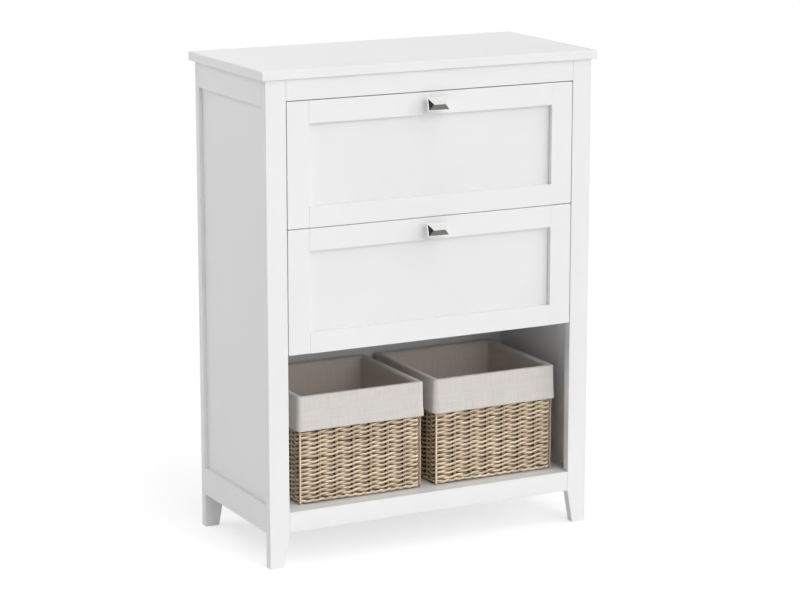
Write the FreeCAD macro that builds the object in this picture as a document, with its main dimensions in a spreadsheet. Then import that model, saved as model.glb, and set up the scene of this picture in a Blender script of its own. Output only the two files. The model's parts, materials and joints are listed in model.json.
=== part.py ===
import FreeCAD, Part
import os
import re
import Sketcher
from FreeCAD import Placement, Rotation, Vector

# A freestanding bathroom cabinet: an overhanging top on four tapered board legs, framed sides,
# two frame-and-panel drawers on roller slides, and an open bay that holds two lined baskets.
# Millimetres. X to the right, Y to the back (the drawers face -Y), Z up from the floor.

# Driving sizes
SIZES = {
    # Top and body
    "top_width": 600, "top_depth": 290, "top_thickness": 15, "top_edge_radius": 1.5,
    "top_side_overhang": 7.5, "top_front_overhang": 6, "top_rear_overhang": 9,
    "overall_height": 800, "floor_clearance": 57,
    "leg_width": 35, "leg_foot_width": 25, "leg_thickness": 15,
    "rail_thickness": 15, "upper_rail_height": 34, "lower_rail_height": 33,
    "side_recess": 6, "side_panel_thickness": 15,
    "upper_side_rail_height": 42, "lower_side_rail_height": 45,
    "shelf_thickness": 15, "divider_rise": 13, "divider_setback": 2,
    "back_panel_thickness": 3, "back_rebate_depth": 3,
    # Framed drawer fronts
    "front_gap": 1.2, "front_thickness": 15, "front_stile_width": 38,
    "front_top_rail_height": 36, "front_bottom_rail_height": 34,
    "front_panel_recess": 9, "front_panel_thickness": 3, "front_groove_depth": 8,
    # Drawer boxes
    "box_lift": 16, "box_top_gap": 36, "box_board_thickness": 12, "box_rear_gap": 14,
    "box_bottom_thickness": 3, "box_bottom_lift": 10, "box_groove_depth": 5,
    # Roller slides
    "slide_space": 12.7, "slide_sheet": 1.2, "slide_front_gap": 1, "slide_rear_gap": 16,
    "slide_foot_width": 10, "slide_flange_setback": 24, "slide_run_inset": 3, "slide_run_gap": 0.6,
    "batten_height": 26, "batten_drop": 2,
    "roller_diameter": 15, "roller_width": 5, "roller_offset": 3.2,
    "roller_inset": 12, "roller_gap": 0.1, "roller_play": 0.8, "roller_side_play": 0.2,
    "pin_radius": 2, "pin_head_radius": 3.2, "pin_head_height": 0.6, "pin_shoulder_radius": 3.5,
    # Knobs
    "knob_width": 39, "knob_height": 22, "knob_rim": 1.5, "knob_edge": 2.5, "knob_rise": 4,
    "knob_ridge_length": 21, "knob_ridge_width": 0.8, "knob_ridge_drop": 1, "knob_tilt": 14,
    "knob_projection": 22, "knob_base_radius": 7, "knob_neck_radius": 5,
    # Baskets and their liners
    "basket_setback": 27, "basket_rear_gap": 12, "basket_left_gap": 28.5, "basket_right_gap": 11.5,
    "basket_spacing": 20, "basket_height": 180, "basket_headroom": 75, "basket_wall": 8, "basket_floor": 6,
    "basket_corner": 5, "basket_inside_corner": 4, "rest_gap": 0.2,
    "liner_thickness": 1.6, "liner_gap": 0.3, "cuff_height": 57,
    # Joinery and fixings
    "fit_gap": 0.05, "end_gap": 0.5,
    "tongue_thickness": 6, "tongue_depth": 6, "tongue_stop": 12,
    "tenon_depth": 10, "tenon_shoulder": 6, "housing_depth": 3.5, "box_joint_depth": 5,
    "knob_screw_radius": 2, "knob_screw_depth": 9,
    "knob_screw_head_radius": 4, "knob_screw_head_height": 2.4,
    "anchor_hole_radius": 2.5, "anchor_spacing": 320,
}

# Levels and faces that follow from the driving sizes
DERIVED = {
    "body_half": "top_width / 2 - top_side_overhang",
    "body_depth": "top_depth - top_front_overhang - top_rear_overhang",
    "y_front": "(knob_projection - body_depth - top_rear_overhang) / 2",
    "y_rear": "y_front + body_depth",
    "y_leg_rear": "y_front + leg_thickness",
    "y_back_leg": "y_rear - leg_thickness",
    "y_back": "y_back_leg - back_panel_thickness",
    "z_top": "overall_height - top_thickness",
    "z_shelf": "floor_clearance + lower_rail_height",
    "panel_out": "body_half - side_recess",
    "panel_in": "panel_out - side_panel_thickness",
    "panel_mid": "(panel_in + panel_out) / 2",
    "box_mid": "(box_in + box_half) / 2",
    "leg_in": "body_half - leg_width",
    "front_half": "leg_in - front_gap",
    "front_in": "front_half - front_stile_width",
    "z_divider": "z_shelf + basket_height + basket_headroom + shelf_thickness",
    "z_front_lower": "z_divider - divider_rise",
    "front_height": "(z_top - upper_rail_height - z_front_lower) / 2 - front_gap",
    "z_front_upper": "z_front_lower + front_height + front_gap",
    "y_divider": "y_front + front_thickness + divider_setback",
    "y_groove": "y_front + front_panel_recess",
    "y_groove_rear": "y_groove + front_panel_thickness",
    "y_front_rear": "y_front + front_thickness",
    "box_height": "front_height - box_lift - box_top_gap",
    "box_half": "leg_in - slide_space",
    "box_in": "box_half - box_board_thickness",
    "y_box_rear": "y_back - box_rear_gap",
    "y_slide": "y_leg_rear + slide_front_gap",
    "y_slide_rear": "y_back - slide_rear_gap",
    "slide_channel": "roller_diameter + 2 * slide_sheet + roller_play",
    "slide_flange": "roller_offset + roller_width + roller_side_play",
    "slide_run": "slide_channel + slide_run_gap",
    "front_roller_rise": "slide_run - roller_gap - roller_diameter / 2",
    "rear_roller_rise": "slide_sheet + roller_gap + roller_diameter / 2",
    "y_front_roller": "y_slide + roller_inset",
    "y_rear_roller": "y_slide_rear - roller_inset",
    "basket_width": "(2 * leg_in - basket_left_gap - basket_right_gap - basket_spacing) / 2",
    "basket_depth": "y_back - basket_rear_gap - y_front - basket_setback",
    "basket_left_x": "basket_left_gap + basket_width / 2 - leg_in",
    "basket_right_x": "leg_in - basket_right_gap - basket_width / 2",
    "basket_y": "y_front + basket_setback + basket_depth / 2",
    "basket_rim": "basket_height - liner_thickness - liner_gap",
    "weave_width": "basket_width - 2 * (liner_thickness + liner_gap)",
    "weave_depth": "basket_depth - 2 * (liner_thickness + liner_gap)",
}

doc = FreeCAD.newDocument("BathroomCabinet")
SIDES = (("left", -1), ("right", 1))
LEVELS = ("upper", "lower")


def linked(expression):
    """The same expression with every size named in the sheet that holds it."""
    def sheet_name(match):
        word = match.group(0)
        if word in SIZES:
            return "Sizes." + word
        return "Derived." + word if word in DERIVED else word
    return re.sub(r"[a-z][a-z_]+", sheet_name, str(expression))


def fill_sheet(name, rows):
    sheet = doc.addObject("Spreadsheet::Sheet", name)
    for row, (alias, content) in enumerate(rows.items(), start=1):
        sheet.set(f"A{row}", alias)
        sheet.set(f"B{row}", content)
        sheet.setAlias(f"B{row}", alias)
    doc.recompute()
    return sheet


sizes = fill_sheet("Sizes", {alias: str(number) for alias, number in SIZES.items()})
fill_sheet("Derived", {alias: "=" + linked(rule) for alias, rule in DERIVED.items()})


def bind(item, name, expression):
    item.setExpression(name, linked(expression))


def value(expression):
    return float(sizes.evalExpression(linked(expression)))


# Building blocks

def place(item, x, y, z):
    for axis, expression in zip("xyz", (x, y, z)):
        bind(item, f"Placement.Base.{axis}", expression)


def board(label, x, y, z):
    """A rectangular board; x, y and z are each the pair of faces it lies between."""
    box = doc.addObject("Part::Box", label)
    for size, (low, high) in zip(("Length", "Width", "Height"), (x, y, z)):
        bind(box, size, f"({high}) - ({low})")
    place(box, x[0], y[0], z[0])
    return box


def across(sign, inner, outer):
    """The pair of X faces of a piece on one side, from its distances to the middle."""
    if sign > 0:
        return inner, outer
    return f"-({outer})", f"-({inner})"


def widened(faces, gap):
    return f"({faces[0]}) - {gap}", f"({faces[1]}) + {gap}"


def centred(middle, thickness):
    return f"({middle}) - {thickness} / 2", f"({middle}) + {thickness} / 2"


def rod(label, start, toward, radius, length):
    """A round bar from a start point along an axis, such as "+x"."""
    bar = doc.addObject("Part::Cylinder", label)
    bind(bar, "Radius", radius)
    bind(bar, "Height", length)
    direction = {"x": Vector(1, 0, 0), "y": Vector(0, 1, 0), "z": Vector(0, 0, 1)}[toward[1]]
    if toward[0] == "-":
        direction = direction * -1
    bar.Placement = Placement(Vector(), Rotation(Vector(0, 0, 1), direction))
    place(bar, *start)
    return bar


def moved(point, toward, distance):
    """The point moved along an axis."""
    place_in_point = "xyz".index(toward[1])
    result = list(point)
    result[place_in_point] = f"({point[place_in_point]}) {toward[0]} ({distance})"
    return tuple(result)


def back_from(toward):
    return ("-" if toward[0] == "+" else "+") + toward[1]


def joined(label, pieces):
    union = doc.addObject("Part::MultiFuse", label)
    union.Shapes = pieces
    union.Refine = True
    return union


def group(label, pieces):
    bundle = doc.addObject("Part::Compound", label)
    bundle.Links = pieces
    return bundle


def cut(label, base, tools):
    difference = doc.addObject("Part::Cut", label)
    difference.Base = base
    difference.Tool = tools[0] if len(tools) == 1 else group(label + "_openings", tools)
    return difference


nodes = []
blanks = {}
openings = {}


def keep(node):
    nodes.append(node)
    return node


def blank(label, piece):
    """A piece that becomes a node once all of its holes and grooves are known."""
    blanks[label] = piece
    openings[label] = []


def board_blank(label, x, y, z):
    blank(label, board(label + "_blank", x, y, z))


def open_in(labels, tool):
    for label in labels:
        openings[label].append(tool)


def tongue(label, receiver, along, x, y, z):
    """A tongue that enters another board along an axis, with the slot that receives it."""
    gaps = ("end_gap" if axis == along else "fit_gap" for axis in "xyz")
    slot = [widened(faces, gap) for faces, gap in zip((x, y, z), gaps)]
    open_in([receiver], board(f"{label}_slot", *slot))
    return board(label, x, y, z)


def pin(label, holders, start, toward, radius, length):
    """A pin in a hole that is a little longer and wider, cut in every piece that holds it."""
    hole_start = moved(start, back_from(toward), "end_gap")
    hole = rod(label + "_hole", hole_start, toward, f"{radius} + fit_gap", f"{length} + 2 * end_gap")
    open_in(holders, hole)
    return rod(label, start, toward, radius, length)


# Sketch helpers

def new_body(label):
    return doc.addObject("PartDesign::Body", label)


def sketch_on(body, role, name, offset="0"):
    plane = next(feature for feature in body.Origin.OriginFeatures if feature.Role == role)
    sketch = body.newObject("Sketcher::SketchObject", name)
    sketch.AttachmentSupport = [(plane, "")]
    sketch.MapMode = "FlatFace"
    bind(sketch, "AttachmentOffset.Base.z", offset)
    return sketch


def polygon(sketch, points):
    """A closed outline whose corners are held at (x, y) expressions from the sketch's origin."""
    corners = [Vector(value(x), value(y), 0) for x, y in points]
    count = len(corners)
    for index in range(count):
        sketch.addGeometry(Part.LineSegment(corners[index], corners[(index + 1) % count]), False)
    for index in range(count):
        sketch.addConstraint(Sketcher.Constraint("Coincident", index, 2, (index + 1) % count, 1))
    for index, (x, y) in enumerate(points):
        for kind, expression in (("DistanceX", x), ("DistanceY", y)):
            number = sketch.addConstraint(Sketcher.Constraint(kind, -1, 1, index, 1, value(expression)))
            bind(sketch, f"Constraints[{number}]", expression)


def rectangle(sketch, width, height):
    half_width = f"({width}) / 2"
    low = f"-({height}) / 2"
    high = f"({height}) / 2"
    polygon(sketch, ((f"-{half_width}", low), (half_width, low),
                     (half_width, high), (f"-{half_width}", high)))


def rounded_rectangle(sketch, width, depth, radius):
    """A centred rectangle with round corners, drawn anticlockwise from its lower side."""
    half_x, half_y, round_by = value(f"({width}) / 2"), value(f"({depth}) / 2"), value(radius)
    flat_x, flat_y = half_x - round_by, half_y - round_by
    lines = ((-flat_x, -half_y, flat_x, -half_y), (half_x, -flat_y, half_x, flat_y),
             (flat_x, half_y, -flat_x, half_y), (-half_x, flat_y, -half_x, -flat_y))
    for x1, y1, x2, y2 in lines:
        sketch.addGeometry(Part.LineSegment(Vector(x1, y1, 0), Vector(x2, y2, 0)), False)
    quarter = 1.5707963267948966
    centres = ((flat_x, -flat_y), (flat_x, flat_y), (-flat_x, flat_y), (-flat_x, -flat_y))
    for corner, (x, y) in enumerate(centres):
        circle = Part.Circle(Vector(x, y, 0), Vector(0, 0, 1), round_by)
        arc = Part.ArcOfCircle(circle, (corner - 1) * quarter, corner * quarter)
        sketch.addGeometry(arc, False)
    for corner in range(4):
        sketch.addConstraint(Sketcher.Constraint("Tangent", corner, 2, 4 + corner, 1))
        sketch.addConstraint(Sketcher.Constraint("Tangent", 4 + corner, 2, (corner + 1) % 4, 1))
        sketch.addConstraint(Sketcher.Constraint("Horizontal" if corner % 2 == 0 else "Vertical", corner))
    for corner in range(1, 4):
        sketch.addConstraint(Sketcher.Constraint("Equal", 4, 4 + corner))
    sketch.addConstraint(Sketcher.Constraint("Symmetric", 4, 3, 6, 3, -1, 1))
    spans = (("Radius", (4,), radius, round_by),
             ("DistanceX", (3, 1, 1, 1), width, 2 * half_x),
             ("DistanceY", (0, 1, 2, 1), depth, 2 * half_y))
    for kind, places, expression, number in spans:
        index = sketch.addConstraint(Sketcher.Constraint(kind, *places, number))
        bind(sketch, f"Constraints[{index}]", expression)


def pad(body, sketch, length, name, reverse=False):
    feature = body.newObject("PartDesign::Pad", name)
    feature.Profile = sketch
    bind(feature, "Length", length)
    feature.Reversed = reverse
    sketch.Visibility = False
    doc.recompute()
    return feature


def pocket(body, sketch, length, name, reverse=False):
    feature = body.newObject("PartDesign::Pocket", name)
    feature.Profile = sketch
    bind(feature, "Length", length)
    feature.Reversed = reverse
    doc.recompute()
    return feature


# Carcass boards

def make_top():
    body = new_body("top_panel_blank")
    outline = sketch_on(body, "XY_Plane", "top_outline")
    rectangle(outline, "top_width", "top_depth")
    slab = pad(body, outline, "top_thickness", "top_slab")
    rounding = body.newObject("PartDesign::Fillet", "top_edges")
    rounding.Base = (slab, [f"Edge{number + 1}" for number in range(len(slab.Shape.Edges))])
    bind(rounding, "Radius", "top_edge_radius")
    place(body, "0", "y_front - top_front_overhang + top_depth / 2", "z_top")
    blank("top_panel", body)


def make_leg(end, side, sign):
    """A board leg: its inner edge tapers from the lower rails down to a narrower foot."""
    body = new_body(f"{end}_{side}_leg_blank")
    outline = sketch_on(body, "XZ_Plane", f"{end}_{side}_leg_outline")
    polygon(outline, (("0", "0"), ("leg_foot_width", "0"), ("leg_width", "floor_clearance"),
                      ("leg_width", "z_top"), ("0", "z_top")))
    pad(body, outline, "leg_thickness", f"{end}_{side}_leg_board", reverse=True)
    near, far = ("y_front", "y_leg_rear") if end == "front" else ("y_back_leg", "y_rear")
    if sign > 0:
        body.Placement = Placement(Vector(), Rotation(Vector(0, 0, 1), 180))
    place(body, f"{sign} * body_half", far if sign > 0 else near, "0")
    blank(f"{end}_{side}_leg", body)


def make_sides():
    """Legs with a thinner panel tongued between them, and strips that frame the panel outside."""
    between_legs = ("y_leg_rear", "y_back_leg")
    for side, sign in SIDES:
        make_leg("front", side, sign)
        make_leg("rear", side, sign)
        panel = f"{side}_side_panel"
        middle = centred(f"{sign} * panel_mid", "tongue_thickness")
        stopped = ("floor_clearance + tongue_stop", "z_top - tongue_stop")
        blank(panel, joined(f"{panel}_blank", [
            board(f"{panel}_field", across(sign, "panel_in", "panel_out"), between_legs,
                  ("floor_clearance", "z_top")),
            tongue(f"{panel}_front_tongue", f"front_{side}_leg", "y", middle,
                   ("y_leg_rear - tongue_depth", "y_leg_rear"), stopped),
            tongue(f"{panel}_rear_tongue", f"rear_{side}_leg", "y", middle,
                   ("y_back_leg", "y_back_leg + tongue_depth"), stopped),
            tongue(f"{panel}_top_tongue", "top_panel", "z", middle,
                   ("y_leg_rear + tongue_stop", "y_back_leg - tongue_stop"),
                   ("z_top", "z_top + tongue_depth"))]))
        rebate = across(sign, "panel_in - end_gap", "panel_in + back_rebate_depth + fit_gap")
        open_in([panel], board(f"{side}_rebate", rebate, ("y_back - fit_gap", "y_back_leg + end_gap"),
                               ("floor_clearance - end_gap", "z_top + end_gap")))
        strip = across(sign, "panel_out", "body_half")
        keep(board(f"{side}_upper_side_rail", strip, between_legs,
                   ("z_top - upper_side_rail_height", "z_top")))
        keep(board(f"{side}_lower_side_rail", strip, between_legs,
                   ("floor_clearance", "floor_clearance + lower_side_rail_height")))


def make_rail(end, level, y, z):
    """A cross rail with a stub tenon in the leg at each end."""
    rail = f"{end}_{level}_rail"
    middle = centred(f"{y[0]} + rail_thickness / 2", "tongue_thickness")
    height = (f"{z[0]} + tenon_shoulder", f"{z[1]} - tenon_shoulder")
    pieces = [board(f"{rail}_bar", ("-leg_in", "leg_in"), y, z)]
    for side, sign in SIDES:
        pieces.append(tongue(f"{rail}_{side}_tenon", f"{end}_{side}_leg", "x",
                             across(sign, "leg_in", "leg_in + tenon_depth"), middle, height))
    blank(rail, joined(f"{rail}_blank", pieces))


def make_shelf(label, y, z):
    """A shelf whose ends stand in housings cut across the side panels."""
    half = "(panel_in + housing_depth)"
    keep(board(label, (f"-{half}", half), y, z))
    for side, sign in SIDES:
        depth = across(sign, "panel_in - end_gap", f"{half} + end_gap")
        open_in([f"{side}_side_panel"], board(f"{label}_{side}_housing", depth, widened(y, "end_gap"),
                                              widened(z, "fit_gap")))


def make_rails_shelves_and_back():
    for level, z in (("upper", ("z_top - upper_rail_height", "z_top")),
                     ("lower", ("floor_clearance", "z_shelf"))):
        make_rail("front", level, ("y_front", "y_front + rail_thickness"), z)
        make_rail("rear", level, ("y_rear - rail_thickness", "y_rear"), z)
    make_shelf("bottom_shelf", ("y_leg_rear", "y_back"), ("z_shelf - shelf_thickness", "z_shelf"))
    make_shelf("divider_shelf", ("y_divider", "y_back"), ("z_divider - shelf_thickness", "z_divider"))
    edge = "panel_in + back_rebate_depth"
    board_blank("back_panel", (f"-({edge})", edge), ("y_back", "y_back_leg"), ("floor_clearance", "z_top"))
    for side, sign in SIDES:
        start = (f"{sign} * anchor_spacing / 2", "y_back - end_gap", "z_top - upper_rail_height / 2")
        hole = rod(f"{side}_anchor_hole", start, "+y", "anchor_hole_radius",
                   "y_rear - y_back + 2 * end_gap")
        open_in(["rear_upper_rail", "back_panel"], hole)


# Roller slides

def roller(label, start, sign):
    """A nylon roller that turns about X on its axle."""
    x = f"{sign} * (leg_in - roller_offset)"
    toward = "-x" if sign > 0 else "+x"
    tread = rod(f"{label}_tread", (x, *start), toward, "roller_diameter / 2", "roller_width")
    bore = rod(f"{label}_bore", moved((x, *start), back_from(toward), "end_gap"), toward,
               "pin_radius + fit_gap", "roller_width + 2 * end_gap")
    return cut(label, tread, [bore])


def axle(label, start, toward, shoulder):
    """A riveted axle: a shoulder against the sheet, the roller's bearing and a flat head."""
    bearing = f"{shoulder} + roller_width + 2 * roller_side_play"
    return [rod(f"{label}_shoulder", start, toward, "pin_shoulder_radius", shoulder),
            rod(f"{label}_bearing", start, toward, "pin_radius", bearing),
            rod(f"{label}_head", moved(start, toward, bearing), toward,
                "pin_head_radius", "pin_head_height")]


def make_slides(level, z_slide):
    """The fixed channels on their battens, the sliding angles under the box and the four rollers."""
    fixed_rollers, sliding_rollers = [], []
    length_faces = ("y_slide", "y_slide_rear")
    flange_faces = ("y_slide + slide_flange_setback", "y_slide_rear")
    for side, sign in SIDES:
        outward, inward = ("+x", "-x") if sign > 0 else ("-x", "+x")
        keep(board(f"{level}_{side}_batten", across(sign, "leg_in", "panel_in"), ("y_leg_rear", "y_back"),
                   (f"{z_slide} - batten_drop", f"{z_slide} - batten_drop + batten_height")))

        fixed = f"{level}_{side}_cabinet_rail"
        flange = across(sign, "leg_in - slide_flange", "leg_in")
        pieces = [
            board(f"{fixed}_web", across(sign, "leg_in - slide_sheet", "leg_in"), length_faces,
                  (z_slide, f"{z_slide} + slide_channel")),
            board(f"{fixed}_lower_flange", flange, flange_faces, (z_slide, f"{z_slide} + slide_sheet")),
            board(f"{fixed}_upper_flange", flange, flange_faces,
                  (f"{z_slide} + slide_channel - slide_sheet", f"{z_slide} + slide_channel"))]
        start = (f"{sign} * (leg_in - slide_sheet)", "y_front_roller", f"{z_slide} + front_roller_rise")
        pieces += axle(f"{fixed}_axle", start, inward, "(roller_offset - slide_sheet - roller_side_play)")
        keep(joined(fixed, pieces))
        fixed_rollers.append(roller(f"{level}_{side}_front_roller", start[1:], sign))

        sliding = f"{level}_{side}_drawer_rail"
        pieces = [
            board(f"{sliding}_web", across(sign, "box_half", "box_half + slide_sheet"), length_faces,
                  (f"{z_slide} - slide_sheet", f"{z_slide} + slide_run + slide_sheet")),
            board(f"{sliding}_foot", across(sign, "box_half - slide_foot_width", "box_half + slide_sheet"),
                  length_faces, (f"{z_slide} - slide_sheet", z_slide)),
            board(f"{sliding}_run", across(sign, "box_half", "leg_in - slide_run_inset"), length_faces,
                  (f"{z_slide} + slide_run", f"{z_slide} + slide_run + slide_sheet"))]
        start = (f"{sign} * (box_half + slide_sheet)", "y_rear_roller", f"{z_slide} + rear_roller_rise")
        pieces += axle(f"{sliding}_axle", start, outward, "(slide_space - slide_sheet - slide_flange)")
        keep(joined(sliding, pieces))
        sliding_rollers.append(roller(f"{level}_{side}_rear_roller", start[1:], sign))
    keep(group(f"{level}_cabinet_rollers", fixed_rollers))
    keep(group(f"{level}_drawer_rollers", sliding_rollers))


# Drawers

def make_front(level, z_front):
    """Two stiles, two rails with tongues, and a thin panel held in their grooves."""
    depth = ("y_front", "y_front_rear")
    groove = ("y_groove", "y_groove_rear")
    held = ("y_groove + fit_gap", "y_groove_rear - fit_gap")
    full = (z_front, f"{z_front} + front_height")
    reach = "(front_groove_depth - end_gap)"
    for side, sign in SIDES:
        stile = f"{level}_front_{side}_stile"
        board_blank(stile, across(sign, "front_in", "front_half"), depth, full)
        depth_of_groove = across(sign, "front_in - end_gap", "front_in + front_groove_depth")
        open_in([stile], board(f"{stile}_groove", depth_of_groove, groove, widened(full, "end_gap")))
    rail_edges = {"top": f"{full[1]} - front_top_rail_height",
                  "bottom": f"{z_front} + front_bottom_rail_height"}
    for name, edge in rail_edges.items():
        rail = f"{level}_front_{name}_rail"
        if name == "top":
            faces, tongue = (edge, full[1]), (f"{edge} + front_groove_depth", full[1])
            slot = (f"{edge} - end_gap", f"{edge} + front_groove_depth")
        else:
            faces, tongue = (z_front, edge), (z_front, f"{edge} - front_groove_depth")
            slot = (f"{edge} - front_groove_depth", f"{edge} + end_gap")
        wide = (f"-(front_in + {reach})", f"front_in + {reach}")
        solid = joined(f"{rail}_blank", [board(f"{rail}_bar", ("-front_in", "front_in"), depth, faces),
                                         board(f"{rail}_tongues", wide, held, tongue)])
        blank(rail, solid)
        open_in([rail], board(f"{rail}_groove", ("-front_in", "front_in"), groove, slot))
    keep(board(f"{level}_front_panel", (f"-(front_in + {reach})", f"front_in + {reach}"), held,
               (f"{rail_edges['bottom']} - {reach}", f"{rail_edges['top']} + {reach}")))


def make_box(level, z_box):
    """Sides tongued into the stiles, a back in their rebates and a bottom in grooves."""
    faces = (z_box, f"{z_box} + box_height")
    slot = (f"{z_box} + box_bottom_lift", f"{z_box} + box_bottom_lift + box_bottom_thickness")
    held = (f"{slot[0]} + fit_gap", f"{slot[1]} - fit_gap")
    y_back_board = "y_box_rear - box_board_thickness"
    reach = "(box_groove_depth - end_gap)"
    back = f"{level}_drawer_back"
    back_width = ("-(box_in + box_joint_depth)", "box_in + box_joint_depth")
    board_blank(back, back_width, (y_back_board, "y_box_rear"), faces)
    open_in([back], board(f"{back}_groove", widened(back_width, "end_gap"),
                          (f"{y_back_board} - end_gap", f"{y_back_board} + box_groove_depth"), slot))
    keep(board(f"{level}_drawer_bottom", (f"-(box_in + {reach})", f"box_in + {reach}"),
               ("y_front_rear", f"{y_back_board} + {reach}"), held))
    for side, sign in SIDES:
        wall = f"{level}_drawer_{side}_side"
        blank(wall, joined(f"{wall}_blank", [
            board(f"{wall}_field", across(sign, "box_in", "box_half"),
                  ("y_front_rear", "y_box_rear"), faces),
            tongue(f"{wall}_tongue", f"{level}_front_{side}_stile", "y",
                   centred(f"{sign} * box_mid", "tongue_thickness"),
                   ("y_front_rear - box_joint_depth", "y_front_rear"),
                   (f"{faces[0]} + tongue_stop", f"{faces[1]} - tongue_stop"))]))
        groove = across(sign, "box_in - end_gap", "box_in + box_groove_depth")
        rebate = across(sign, "box_in - end_gap", "box_in + box_joint_depth + fit_gap")
        open_in([wall], board(f"{wall}_groove", groove,
                              ("y_front_rear - end_gap", f"{y_back_board} + box_groove_depth"), slot))
        open_in([wall], board(f"{wall}_rebate", rebate,
                              (f"{y_back_board} - fit_gap", "y_box_rear + end_gap"),
                              widened(faces, "end_gap")))


def wedge(label, y, small, large):
    """A block between two Y faces; small and large are its X and Z faces at the first and second."""
    block = doc.addObject("Part::Wedge", label)
    rows = (("Ymin", y[0]), ("Ymax", y[1]),
            ("Xmin", small[0][0]), ("Xmax", small[0][1]), ("Zmin", small[1][0]), ("Zmax", small[1][1]),
            ("X2min", large[0][0]), ("X2max", large[0][1]), ("Z2min", large[1][0]), ("Z2max", large[1][1]))
    for name, expression in rows:
        setattr(block, name, value(expression))
        bind(block, name, expression)
    return block


def make_knob(level, z_knob):
    """A cast knob: a hipped head with a flat rim, leaning a little upward, on a tapered neck."""
    label = f"{level}_knob"
    face = (centred("0", "knob_width"), centred("0", "knob_height"))
    foot = (centred("0", "(knob_width - 2 * knob_rim)"), centred("0", "(knob_height - 2 * knob_rim)"))
    ridge = (centred("0", "knob_ridge_length"), centred("-knob_ridge_drop", "knob_ridge_width"))
    head = [wedge(f"{label}_hip", ("0", "knob_rise"), ridge, foot),
            wedge(f"{label}_band", ("knob_rise", "knob_rise + knob_edge"), face, face)]
    thickness = "(knob_edge + knob_rise)"
    lean = "(knob_ridge_drop + knob_ridge_width / 2) * sin(knob_tilt * 1 deg)"
    for block in head:
        block.Placement = Placement(Vector(), Rotation(Vector(-1, 0, 0), value("knob_tilt")))
        bind(block, "Placement.Rotation.Angle", "knob_tilt")
        place(block, "0", f"y_front - knob_projection + {lean}",
              f"{z_knob} + {thickness} * sin(knob_tilt * 1 deg)")
    neck = doc.addObject("Part::Cone", f"{label}_neck")
    bind(neck, "Radius1", "knob_base_radius")
    bind(neck, "Radius2", "knob_neck_radius")
    bind(neck, "Height", f"knob_projection - {thickness} * cos(knob_tilt * 1 deg) + knob_edge / 2")
    neck.Placement = Placement(Vector(), Rotation(Vector(0, 0, 1), Vector(0, -1, 0)))
    place(neck, "0", "y_front", z_knob)
    blank(label, joined(f"{label}_blank", [*head, neck]))
    start = ("0", "y_front_rear", z_knob)
    shank = pin(f"{label}_screw_shank", [label, f"{level}_front_top_rail"], start, "-y",
                "knob_screw_radius", "front_thickness + knob_screw_depth")
    cap = rod(f"{label}_screw_head", start, "+y", "knob_screw_head_radius", "knob_screw_head_height")
    keep(joined(f"{label}_screw", [shank, cap]))


# Baskets

def make_basket(side):
    """A woven tray of its true outer size, and a liner that lines it and folds over its rim."""
    spot = (f"basket_{side}_x", "basket_y", "z_shelf + rest_gap")
    inner_width, inner_depth = "weave_width - 2 * basket_wall", "weave_depth - 2 * basket_wall"
    inner_corner = "basket_inside_corner"
    weave = new_body(f"{side}_basket_weave")
    outline = sketch_on(weave, "XY_Plane", f"{side}_weave_outline")
    rounded_rectangle(outline, "weave_width", "weave_depth", "basket_corner")
    pad(weave, outline, "basket_rim", f"{side}_weave_block")
    hollow = sketch_on(weave, "XY_Plane", f"{side}_weave_hollow", "basket_rim")
    rounded_rectangle(hollow, inner_width, inner_depth, inner_corner)
    pocket(weave, hollow, "basket_rim - basket_floor", f"{side}_weave_inside")
    place(weave, *spot)
    keep(weave)

    liner = new_body(f"{side}_basket_liner")
    cuff_low = "basket_height - cuff_height"
    cuff = sketch_on(liner, "XY_Plane", f"{side}_cuff_outline", cuff_low)
    rounded_rectangle(cuff, "basket_width", "basket_depth", "basket_corner + liner_gap + liner_thickness")
    pad(liner, cuff, "cuff_height", f"{side}_cuff")
    inside_cuff = sketch_on(liner, "XY_Plane", f"{side}_cuff_inside", cuff_low)
    rounded_rectangle(inside_cuff, "weave_width + 2 * liner_gap", "weave_depth + 2 * liner_gap",
                      "basket_corner + liner_gap")
    pocket(liner, inside_cuff, f"basket_rim + liner_gap - ({cuff_low})", f"{side}_cuff_hollow",
           reverse=True)
    lining = sketch_on(liner, "XY_Plane", f"{side}_lining_outline", "basket_floor + liner_gap")
    rounded_rectangle(lining, f"{inner_width} - 2 * liner_gap", f"{inner_depth} - 2 * liner_gap",
                      f"{inner_corner} - liner_gap")
    pad(liner, lining, "basket_height - basket_floor - liner_gap", f"{side}_lining")
    room = sketch_on(liner, "XY_Plane", f"{side}_lining_room", "basket_height")
    rounded_rectangle(room, f"{inner_width} - 2 * (liner_gap + liner_thickness)",
                      f"{inner_depth} - 2 * (liner_gap + liner_thickness)",
                      f"{inner_corner} - liner_gap - liner_thickness")
    pocket(liner, room, "basket_height - basket_floor - liner_gap - liner_thickness",
           f"{side}_lining_inside")
    place(liner, *spot)
    keep(liner)


# The whole cabinet
make_top()
make_sides()
make_rails_shelves_and_back()
for level in LEVELS:
    z_front = f"z_front_{level}"
    z_box = f"{z_front} + box_lift"
    make_front(level, z_front)
    make_box(level, z_box)
    make_knob(level, f"{z_front} + front_height - front_top_rail_height / 2")
    make_slides(level, z_box)
for side, sign in SIDES:
    make_basket(side)
for label, piece in blanks.items():
    if openings[label]:
        piece = cut(label, piece, openings[label])
    piece.Label = label
    keep(piece)

doc.recompute()
failed = [item.Label for item in doc.Objects if "Invalid" in item.State or "Error" in item.State]
failed += [node.Label for node in nodes if node.Shape.isNull() or not node.Shape.isValid()]
if failed:
    raise RuntimeError(f"failed objects: {failed}")
os.makedirs("parts", exist_ok=True)
for node in nodes:
    node.Shape.exportStep(f"parts/{node.Label}.step")
print(len(nodes), "pieces")
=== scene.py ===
import json
import math
import random

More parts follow.
